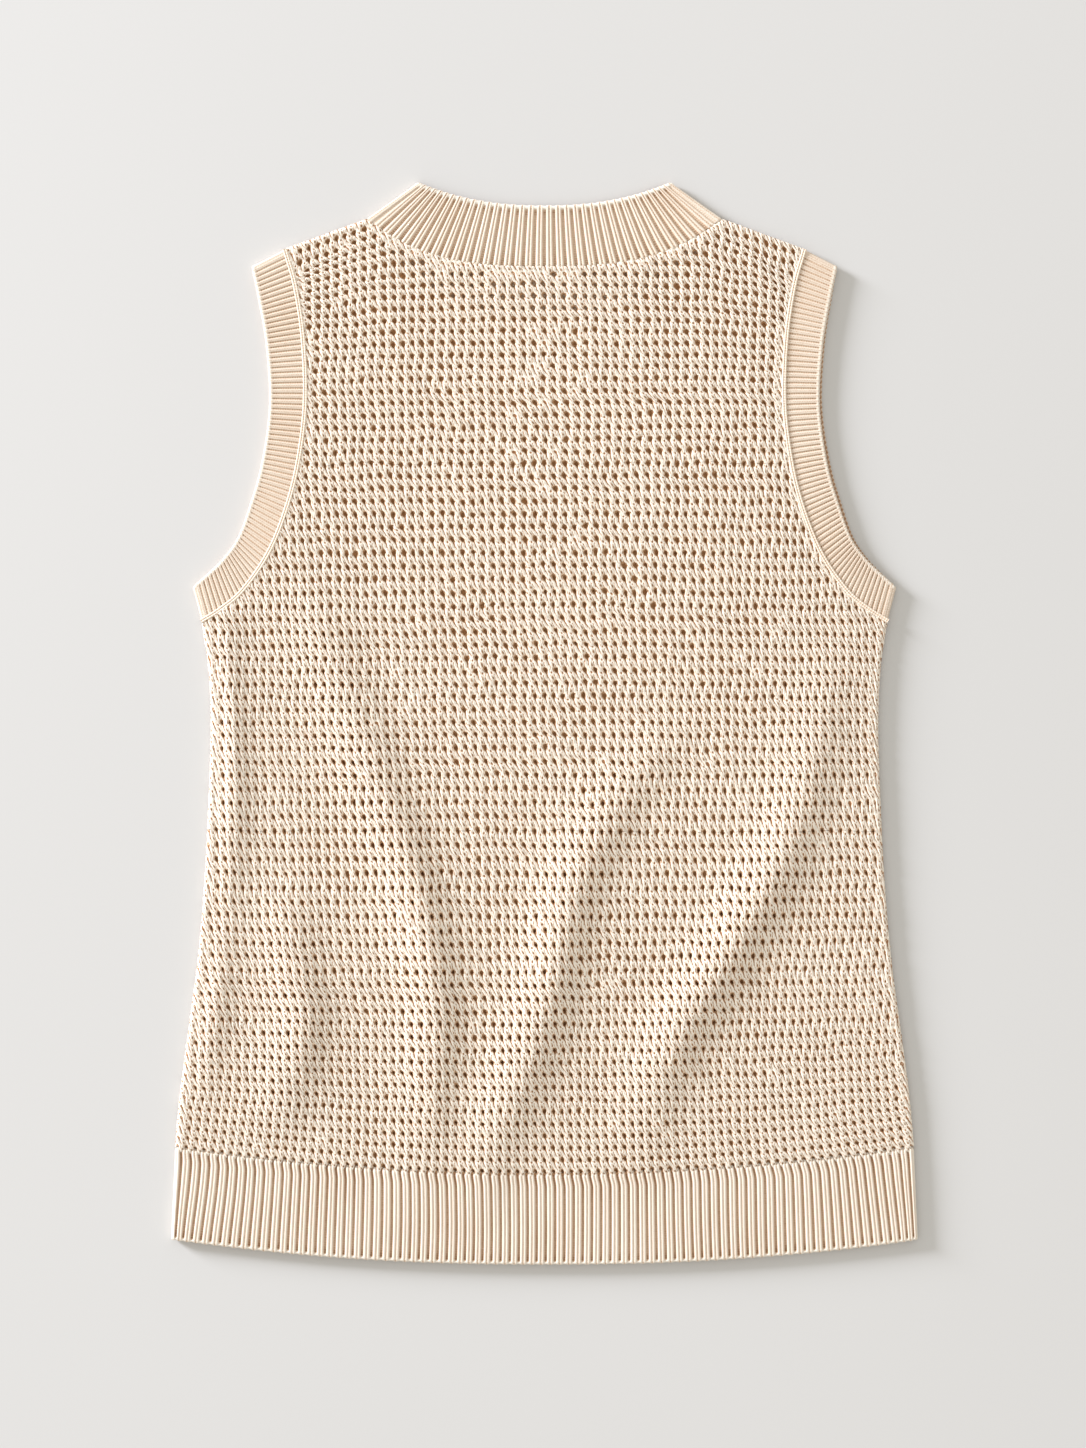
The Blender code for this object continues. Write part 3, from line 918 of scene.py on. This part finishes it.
def openwork_ground(name):
    """The ground under the back's yarn, pierced at the holes."""
    grid = panel_steps(GROUND_STEPS)
    repeat = tuple(np.floor_divide(value, GROUND_STEPS) for value in grid)
    steps = tuple(value % GROUND_STEPS for value in grid)
    place = tuple(value / GROUND_STEPS - 0.5 for value in grid)
    opened = open_repeats(*repeat)[0]
    places = move_to_rims(GROUND_RIM, opened, repeat, steps, openness(*repeat), place)
    plan = clamp_to_panel(*lattice_point(*places), BACK_NECK)
    points = surface_points(plan, back_face, 1, -GROUND_SINK)
    keep = ~(opened & (steps[0] == 1) & (steps[1] == 1))[:-1, :-1]
    return make_grid(name, points, keep, 1, {}, GROUND_PAINTED_SHADE)


def front_layer(name, facing, sink, steps, material):
    """One side of the front's cloth, plain but for its material and that material's painted shade."""
    right, up = (value / steps for value in panel_steps(steps))
    plan = clamp_to_panel(*lattice_point(right, up), FRONT_NECK)
    points = surface_points(plan, front_face, -1, -sink)
    attributes = yarn_attributes(FRONT_SHADE, right, up, plan[..., 1])
    return make_grid(name, points, True, facing, attributes, material)


def panel_cut(neckline, face):
    """Width, length and area of a panel's cloth once it is pulled flat."""
    half = round(HEM_HALF)
    across, height = np.meshgrid(np.arange(-half, half + 1), np.arange(0, math.ceil(BODY_LENGTH)))
    inside = inside_panel(across, height, neckline)
    slope_up, slope_across = np.gradient(face(across, height))
    width = (np.hypot(1, slope_across) * inside).sum(1).max()
    length = (np.hypot(1, slope_up) * inside).sum(0).max()
    return width, length, (np.sqrt(1 + slope_across**2 + slope_up**2) * inside).sum()


def build_front():
    outside = front_layer("front_mesh", -1, YARN_SINK, 2, OPENWORK_YARN)
    # Its inner side is painted shade, seen through the back's holes.
    inside = front_layer("front_mesh_inside", 1, INSIDE_SINK, 1, INSIDE_PAINTED_SHADE)
    declare_cloth(outside, panel_cut(FRONT_NECK, front_face), "front_panel", with_pieces=[inside])


def build_back():
    ground = openwork_ground("back_mesh")
    edges = np.linspace(-1, LAST_ROW, YARN_PIECES + 1).round().astype(int)
    parts = [
        openwork_yarn(f"back_mesh_yarn_{number}", low, high)
        for number, (low, high) in enumerate(zip(edges, edges[1:]), 1)
    ]
    for side, mirror in (("left", -1), ("right", 1)):
        seam = armhole_lines(mirror)[0]
        for number, shift in enumerate(LINKING_SHIFTS, 1):
            parts.append(armhole_linking(f"armhole_linking_{side}_{number}", seam, shift * mirror))
    declare_cloth(ground, panel_cut(BACK_NECK, back_face), "back_panel", ["front_mesh"], parts)


# ---- ribs

# A ribbed wall between a seam and a free edge, whose level is a function of plan points.
Wall = namedtuple("Wall", "seam edge level facing ring")
# How a ribbed piece is knitted, how far its ribs lean to the right, and how far they wander.
Knit = namedtuple("Knit", "table row_pitch plain_edge lean sway slot")

HEM_KNIT = Knit(RIB, ROW_PITCH, HEM_EDGE, 1.1, 0.5, RIB_SLOT)
HIDDEN_HEM_KNIT = Knit(PLAIN_RIB, PLAIN_ROW_PITCH, HEM_EDGE, 1.1, 0.5, RIB_SLOT)
NECK_KNIT = Knit(NECK_RIB, ROW_PITCH, BAND_EDGE, 0, 0.25, RIB_SLOT)
ARMHOLE_KNIT = Knit(FINE_RIB, ROW_PITCH, BAND_EDGE, 0, 0, FINE_RIB_SLOT)


def grid_normals(points, facing, ring):
    """Unit normals of a grid of points, on the side that "facing" chooses."""
    if ring:
        padded = np.concatenate([points[:, -2:], points, points[:, :2]], 1)
        across = np.gradient(padded, axis=1)[:, 2:-2]
    else:
        across = np.gradient(points, axis=1)
    return facing * unit(np.cross(across, np.gradient(points, axis=0)))


def rib_profile(table, ribs):
    """Positions in ribs, relief and shade of a table's points over a number of ribs."""
    phases, relief, shade = (np.array(values) for values in zip(*table))
    position = (np.arange(ribs)[:, None] + phases).ravel()
    return position, np.tile(relief, ribs), np.tile(shade, ribs)


def rib_rows(length, pitch):
    """The rows' shares of the way from edge to seam, from the inside round the edge, and drops."""
    turn = np.radians(EDGE_TURN)
    edge = EDGE_ROUND / length
    share = np.concatenate([INNER_SHARES, edge * (1 - np.sin(turn))])
    drop = np.concatenate([np.full(len(INNER_SHARES), CLOTH), EDGE_ROUND * (1 - np.cos(turn))])
    count = round((length - EDGE_ROUND) / pitch)
    flat = np.linspace(edge, 1 + LAP / length, count)
    return np.concatenate([share, flat]), np.concatenate([drop, np.zeros(count)])


def straying(plan, below, knit):
    """How far ribs lie aside at plan points some distance below their tops."""
    across, height = plan[..., 0], plan[..., 1]
    free = ease((HEM_HALF - abs(across)) / STRAY_ENDS) * ease(below / STRAY_REACH)
    sway = knit.sway * (1 + stepped(UNEVEN_END, -across))
    return free * (knit.lean + sway * soft_noise(STRAY_WAVES, across, height))


def wall_face(wall, position, share, length, knit):
    """The face of a wall without its relief, with straying ribs and a scalloped edge."""
    notch = SCALLOP / length * ease(1 - share * length / SCALLOP_REACH)
    reach = share[:, None] + notch[:, None] * np.cos(2 * math.pi * position)
    plan = wall.edge[None] + (wall.seam - wall.edge)[None] * reach[..., None]
    plan[..., 0] += straying(plan, (1 - reach) * length, knit)
    return np.concatenate([plan, wall.level(plan)[..., None]], -1)


def wall_relief(profile, share, length, inside, plain_edge):
    """Relief and painted shade of a wall, whose inside is plain with dark painted shade and whose
    furrows start past its edge.
    """
    position, relief, shade = profile
    from_edge = (share - plain_edge) * length
    near_furrow = abs(position - position.round()) < FURROW_REACH
    fade = np.where(near_furrow, ease(from_edge / EDGE_FADE)[:, None], 1.0)
    stitch = np.where(np.arange(len(share)) % 2 == 0, STITCH_RELIEF, -STITCH_RELIEF)[:, None]
    tuck = TUCK * ease((share - 1 + TUCK_START / length) * length / TUCK_SPAN)[:, None]
    raised = relief * fade + PLAIN_EDGE.relief * (1 - fade) + stitch - SUNK - tuck
    ends = bell((from_edge - TIP_PLACE) / TIP_SPREAD) + bell((share - 1) / TOP_SPREAD)
    painted_shading = shade * fade + PLAIN_EDGE.shade * (1 - fade)
    painted_shading = painted_shading - DEEP_ENDS * ends[:, None] * (shade < FURROW_SHADE)
    return np.where(inside, 0, raised), np.where(inside, INSIDE_SHADE, painted_shading)


def ribbed_sheet(name, wall, profile, knit):
    """A ribbed wall and the size of its cut, from its columns' places in ribs, relief and shade."""
    length = np.linalg.norm(wall.edge - wall.seam, axis=-1).mean()
    share, drop = rib_rows(length, knit.row_pitch)
    position = profile[0]
    face = wall_face(wall, position, share, length, knit)
    normals = grid_normals(face[TURNED_ROWS:], wall.facing, wall.ring)
    normals = np.concatenate([np.repeat(normals[:1], TURNED_ROWS, 0), normals])
    inside = (drop > INSIDE_DROP)[:, None]
    raised, painted_shading = wall_relief(profile, share, length, inside, knit.plain_edge)
    points = face + normals * (raised - drop[:, None])[..., None]
    if wall.ring:
        points = np.concatenate([points, points[:, :1]], 1)
        painted_shading = np.concatenate([painted_shading, painted_shading[:, :1]], 1)
        position = np.append(position, math.ceil(position[-1]))
    along = (share * length)[:, None]
    attributes = yarn_attributes(painted_shading, position, along / STITCH, along)
    piece = make_grid(name, points, True, wall.facing, attributes, RIB_YARN, True)
    around = [lengths_along(line)[-1] for line in (wall.seam, wall.edge)]
    return piece, (max(around), length, sum(around) / 2 * length)


def rib_spread(share):
    """How far a hem rib's foot lies outside its top."""
    size = abs(share)
    return np.sign(share) * (FOOT_SPREAD * size + END_SPREAD * size**END_CURVE * (1 - size))


def hem_level(plan, facing):
    """Height of one layer's hem at plan points."""
    across, height = plan[..., 0], plan[..., 1]
    climb = np.clip((height - HEM_CORNER_RISE) / (HEM_TOP - HEM_CORNER_RISE), 0, 1)
    half = HEM_HALF + (HEM_TOP_HALF - HEM_HALF) * climb
    rise = fold_rise(across, height) if facing > 0 else 0
    return MID + facing * turn_height(half - abs(across)) + rise


def hem_ribbing(name, facing, knit):
    """The ribbed hem of one layer."""
    flat_half = HEM_TOP_HALF - ROLL
    half_length = flat_half + ROLL * math.pi / 2
    position, relief, shade = rib_profile(knit.table, HEM_RIBS)
    position = np.append(position, HEM_RIBS)
    relief, shade = np.append(relief, relief[0]), np.append(shade, shade[0])
    arc = (position / HEM_RIBS * 2 - 1) * half_length
    turned = np.clip(abs(arc) - flat_half, 0, None) / ROLL
    # The turned ends are raised and get little painted shade.
    relief = np.where(turned > 0, np.maximum(relief, 0), relief)
    shade = np.where(turned > 0, np.maximum(shade, TURNED_SHADE), shade)
    across = np.sign(arc) * (np.minimum(abs(arc), flat_half) + ROLL * np.sin(turned))
    across = across + soft_noise(TOP_WAVES, across, 0 * across) * (turned == 0)
    share = across / HEM_TOP_HALF
    foot = across + rib_spread(share)
    seam = np.stack([across, hem_seam(share) - SEAM_GAP / 2], -1)
    edge = np.stack([foot, hem_edge(foot / HEM_HALF)], -1)
    wall = Wall(seam, edge, lambda plan: hem_level(plan, facing), facing, False)
    return ribbed_sheet(name, wall, (position, relief, shade), knit)


def fold_layout(length, position, ribs):
    """Distances along the seam of a band's columns, from fold to fold, and their turns there."""
    total = length - 2 * ROLL + math.pi * ROLL
    arc = position / ribs * total
    quarter = ROLL * math.pi / 2
    from_end = np.minimum(arc, total - arc)
    turn = np.clip((quarter - from_end) / ROLL, 0, math.pi / 2)
    inset = np.where(from_end < quarter, ROLL * (1 - np.sin(turn)), ROLL + from_end - quarter)
    return np.where(arc < total / 2, inset, length - inset), turn


def edge_inset(inset, seam_lengths, edge_lengths):
    """Inset of columns along the free edge from that along the seam, equal where a band turns."""
    paired = np.interp(inset, seam_lengths, edge_lengths)
    at_turn = np.interp(ROLL, seam_lengths, edge_lengths)
    middle = np.interp(seam_lengths[-1] / 2, seam_lengths, edge_lengths)
    spread = ROLL + (paired - at_turn) * (middle - ROLL) / (middle - at_turn)
    return np.where(inset < ROLL, inset, spread)


def band_columns(seam, edge, table, pitch, facing):
    """Seam points, edge points and levels of the columns of a band's layer, and its ribs."""
    seam_lengths, edge_lengths = lengths_along(seam), lengths_along(edge)
    seam_length, edge_length = seam_lengths[-1], edge_lengths[-1]
    ribs = round(seam_length / pitch)
    distance, turn = fold_layout(seam_length, rib_profile(table, ribs)[0], ribs)
    start = edge_inset(distance, seam_lengths, edge_lengths)
    rest = seam_length - seam_lengths[::-1], edge_length - edge_lengths[::-1]
    end = edge_inset(seam_length - distance, *rest)
    paired = np.where(distance < seam_length / 2, start, edge_length - end)
    level = MID + facing * ROLL * np.cos(turn)
    return point_at(seam, seam_lengths, distance), point_at(edge, edge_lengths, paired), level, ribs


def calm_folds(position, relief, shade, ribs, back_ribs):
    """Relief and painted shade of a band's ribs, calmer and lighter next to its folds."""
    from_start = np.minimum(position, ribs - position)
    from_fold = np.minimum(abs(position - back_ribs), from_start)
    calm = 1 - ease(from_fold / CALM_RIBS)
    return relief * (1 - (1 - CALM_DEPTH) * calm), np.maximum(shade, CALM_SHADE * calm)


def folded_band(name, back, front, knit, pitch):
    """A ribbed band all round an opening, its back half over its front half."""
    *back_lines, back_ribs = band_columns(*back, knit.table, pitch, 1)
    *front_lines, front_ribs = band_columns(*front, knit.table, pitch, -1)
    seam, edge, levels = (
        np.concatenate([first, second[::-1]]) for first, second in zip(back_lines, front_lines)
    )
    ribs = back_ribs + front_ribs
    position, relief, shade = rib_profile(knit.table, ribs)
    relief, shade = calm_folds(position, relief, shade, ribs, back_ribs)
    seam = seam + unit(edge - seam) * SEAM_GAP / 2
    # The columns run over the back first, so their direction there tells which way is up.
    onward, inward = seam[1] - seam[0], seam[0] - edge[0]
    facing = np.sign(onward[0] * inward[1] - onward[1] * inward[0])
    wall = Wall(seam, edge, lambda plan: np.broadcast_to(levels, plan.shape[:2]), facing, True)
    return ribbed_sheet(name, wall, (position, relief, shade), knit)


def neck_lines(neckline):
    """Plan points of the neck band's seam and free edge, paired rib by rib."""
    share = np.linspace(-1, 1, NECK_POINTS)
    seam = np.stack([NECK_SEAM_HALF * share, neck_seam_height(share, neckline)], -1)
    fanned = share * (1 + RIB_FAN * (1 - abs(share)))
    rise = (BODY_LENGTH - neckline.edge_centre) * abs(fanned) ** neckline.edge_curve
    edge = np.stack([NECK_EDGE_HALF * fanned, neckline.edge_centre + rise], -1)
    return seam, edge


def armhole_lines(mirror, peek=0):
    """Plan points of an armhole band's seam and free edge, paired rib by rib."""
    knots = np.arange(len(ARMHOLE))
    at = np.linspace(0, knots[-1], ARMHOLE_POINTS)
    seam_across, seam_height, edge_across, edge_height = (
        hermite(knots, column_of(ARMHOLE, name), at) for name in Station._fields
    )
    bulge = peek * np.sin(math.pi * at / knots[-1])
    seam = np.stack([mirror * seam_across, seam_height], -1)
    edge = np.stack([mirror * (edge_across + bulge), edge_height], -1)
    return seam, edge


def build_bands():
    declare_cloth(*hem_ribbing("hem_ribbing_front", -1, HIDDEN_HEM_KNIT), "hem_rib_front")
    declare_cloth(*hem_ribbing("hem_ribbing_back", 1, HEM_KNIT), "hem_rib_back", ["hem_ribbing_front"])
    lines = neck_lines(BACK_NECK), neck_lines(FRONT_NECK)
    declare_cloth(*folded_band("neck_ribbing", *lines, NECK_KNIT, NECK_RIB_PITCH), "neck_band")
    for side, mirror, peek in (("left", -1, 0), ("right", 1, FRONT_PEEK)):
        lines = armhole_lines(mirror), armhole_lines(mirror, peek)
        band = folded_band(f"armhole_ribbing_{side}", *lines, ARMHOLE_KNIT, ARMHOLE_RIB_PITCH)
        declare_cloth(*band, f"armhole_band_{side}")


# ---- seams


def beside_line(line, along, shift):
    """Plan points at distances along a line of points, and some way to its right."""
    lengths = lengths_along(line)
    along = np.clip(along, LINE_STEP, lengths[-1] - LINE_STEP)
    here = point_at(line, lengths, along)
    before, after = (point_at(line, lengths, along + step) for step in (-LINE_STEP, LINE_STEP))
    ahead = unit(after - before)
    side = np.stack([ahead[..., 1], -ahead[..., 0]], -1)
    return here + side * shift[..., None]


def armhole_linking(name, seam, shift):
    """A raised chain of leaning stitches beside a seam."""
    draw = np.random.default_rng(LINKING_SEED)
    length = lengths_along(seam)[-1]
    count = round(length / LINKING.stitch) * STITCH_RINGS
    along = np.linspace(0, length, count + 1)[:, None]
    across = np.array(CHAIN_PLACES)[None]
    phase = along / LINKING.stitch - LINKING.lean * abs(across)
    lump = LUMP_LOW + (1 - LUMP_LOW) * (0.5 + 0.5 * np.cos(2 * math.pi * phase))
    body = np.sqrt(1 - across**2)
    swell = 1 + LINKING_JITTER * draw.normal(0, 1, along.shape)
    plan = beside_line(seam, along + 0 * across, across * LINKING.half_width * swell + shift)
    level = LINKING_LEVEL + (LINKING.height * body * lump - LINKING_SINK)
    points = np.concatenate([plan, level[..., None]], -1)
    # Painted shade: the chain darker at its sides and between its lumps.
    attributes = {"painted_shade": (SIDE_SHADE + MIDDLE_SHADE * body) * lump, "along": along, "around": across}
    return make_grid(name, points, True, 1, attributes, SEAM_YARN)


# ---- stage


def build_floor():
    bpy.ops.mesh.primitive_plane_add(size=6.0, location=(0, 0, -0.0003))
    floor = bpy.context.object
    floor.name = "floor"
    nodes = Nodes("pale_floor")
    colours = (0.608, 0.604, 0.595), (0.622, 0.618, 0.609)
    colour = nodes.ramp(nodes.noise(scale=1.2, detail=1), (0.3, 0.7), colours)
    nodes.finish(colour, roughness=0.85, specular=0.1)
    floor.data.materials.append(nodes.material)


def build_key_light():
    light = bpy.data.lights.new("key", "AREA")
    light.shape = "DISK"
    light.size = 2.0
    light.energy = 1055
    light.color = (0.975, 1.0, 1.08)
    lamp = bpy.data.objects.new("key", light)
    lamp.location = (-6.0, 3.3, 1.5)
    lamp.rotation_euler = (-lamp.location).to_track_quat("-Z", "Y").to_euler()
    bpy.context.scene.collection.objects.link(lamp)


def build_world():
    world = bpy.data.worlds.new("studio")
    bpy.context.scene.world = world
    world.use_nodes = True
    sky = {"Color": (1.012, 0.978, 0.915, 1), "Strength": 0.82}
    set_inputs(world.node_tree.nodes["Background"], sky)


def build_camera():
    camera = bpy.data.cameras.new("camera")
    camera.sensor_width = SENSOR
    camera.lens = SENSOR * CAMERA_DISTANCE / VIEW_HEIGHT
    camera.clip_end = 20
    eye = bpy.data.objects.new("camera", camera)
    eye.location = (*VIEW_CENTRE, CAMERA_DISTANCE)
    bpy.context.scene.collection.objects.link(eye)
    bpy.context.scene.camera = eye


build_front()
build_back()
build_bands()
build_floor()
build_key_light()
build_world()
build_camera()
bpy.context.scene.view_settings.view_transform = "Standard"
